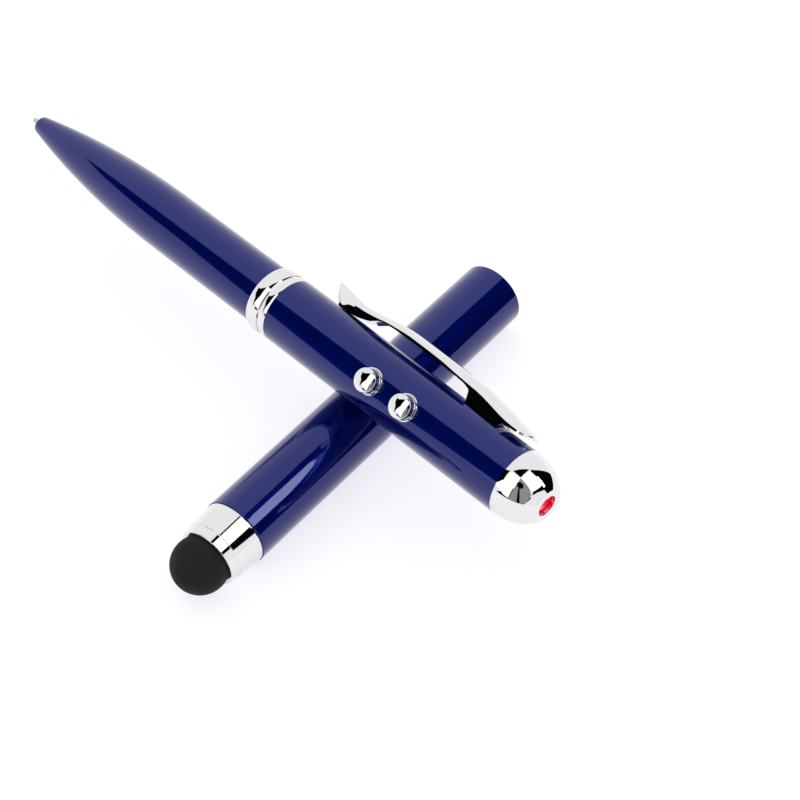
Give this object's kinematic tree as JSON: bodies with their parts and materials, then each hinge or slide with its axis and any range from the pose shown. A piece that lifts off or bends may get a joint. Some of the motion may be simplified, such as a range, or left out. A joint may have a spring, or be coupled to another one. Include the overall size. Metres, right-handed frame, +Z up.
{
  "type": "laser pointer pen",
  "caption": "Slim ballpoint pen with a laser pointer and torch in its domed end, side buttons, a sprung clip and a pull-off cap that ends in a touch-screen stylus.",
  "frame": {"origin": "on the table, under the middle of the box round the pen and the cap that it lies on", "axes": "+X along the pen towards the laser end, +Z up; the cap lies across, with its stylus towards -Y"},
  "size_m": [0.1268, 0.0804, 0.0244],
  "materials": {
    "lacquer": "gloss metallic blue lacquer",
    "chrome": "polished chromium plate",
    "brass": "turned brass",
    "black_plastic": "moulded",
    "white_plastic": "moulded",
    "steel": "turned and nickel plated",
    "board": "glass-fibre board",
    "clear_plastic": "clear moulded acrylic",
    "lamp": "clear epoxy lamp",
    "wire": "insulated wire",
    "rubber": "matte conductive silicone"
  },
  "bodies": {
    "rear_barrel": {"rear_barrel": "lacquer", "thread_bush": "brass", "battery_sleeve": "black_plastic", "battery_cells": "steel", "rear_contact": "brass", "board_carrier": "black_plastic", "circuit_board": "board", "tact_switches": "black_plastic", "button_rims": "chrome", "laser_module": "brass", "laser_diode": "steel", "laser_lens": "clear_plastic", "laser_leads": "wire", "torch_led": "lamp", "torch_leads": "wire", "head_block": "black_plastic", "head_window": "clear_plastic", "head_dome": "chrome"},
    "refill": {"refill_tube": "brass", "refill_tip": "steel"},
    "refill_ball": {"refill_ball": "steel"},
    "front_barrel": {"front_barrel": "lacquer", "nose_bush": "white_plastic", "front_coupling": "brass", "centre_ring": "chrome", "contact_plug": "brass", "battery_spring": "steel"},
    "laser_button": {"laser_button": "chrome", "laser_plunger": "black_plastic"},
    "torch_button": {"torch_button": "chrome", "torch_plunger": "black_plastic"},
    "clip": {"clip": "chrome", "clip_stud": "steel"},
    "cap": {"cap_tube": "lacquer", "cap_liner": "white_plastic", "cap_collar": "chrome", "stylus_plug": "steel", "stylus_tip": "rubber"}
  },
  "joints": [
    {"name": "front_travel", "type": "slide", "parent": "rear_barrel", "child": "refill", "axis": [-1, 0, 0], "range_m": [0, 0.005]},
    {"name": "front_unscrew", "type": "hinge", "parent": "refill", "child": "front_barrel", "pos_m": [-0.03135, 0.00382, 0.01764], "axis": [-1, 0, 0], "range_deg": [0, 2401]},
    {"name": "ball_roll", "type": "hinge", "parent": "refill", "child": "refill_ball", "pos_m": [-0.063, 0.00382, 0.01764], "axis": [0, 1, 0], "continuous": true},
    {"name": "laser_button_press", "type": "slide", "parent": "rear_barrel", "child": "laser_button", "axis": [0, 0.6947, -0.7193], "range_m": [0, 0.0006], "stiffness_N_per_m": 1500},
    {"name": "torch_button_press", "type": "slide", "parent": "rear_barrel", "child": "torch_button", "axis": [0, 0.6947, -0.7193], "range_m": [0, 0.0006], "stiffness_N_per_m": 1500},
    {"name": "clip_flex", "type": "hinge", "parent": "rear_barrel", "child": "clip", "pos_m": [0.05005, 0.00839, 0.02113], "axis": [0, 0.6074, -0.7944], "range_deg": [0, 3], "stiffness_Nm_per_rad": 2},
    {"name": "cap_draw", "type": "slide", "parent": "rear_barrel", "child": "cap", "axis": [0.1236, -0.9923, 0], "range_m": [0, 0.05]}
  ],
  "couplings": [
    {"joint": "front_unscrew", "follows": "front_travel", "rad_per_m": 8377.6}
  ]
}
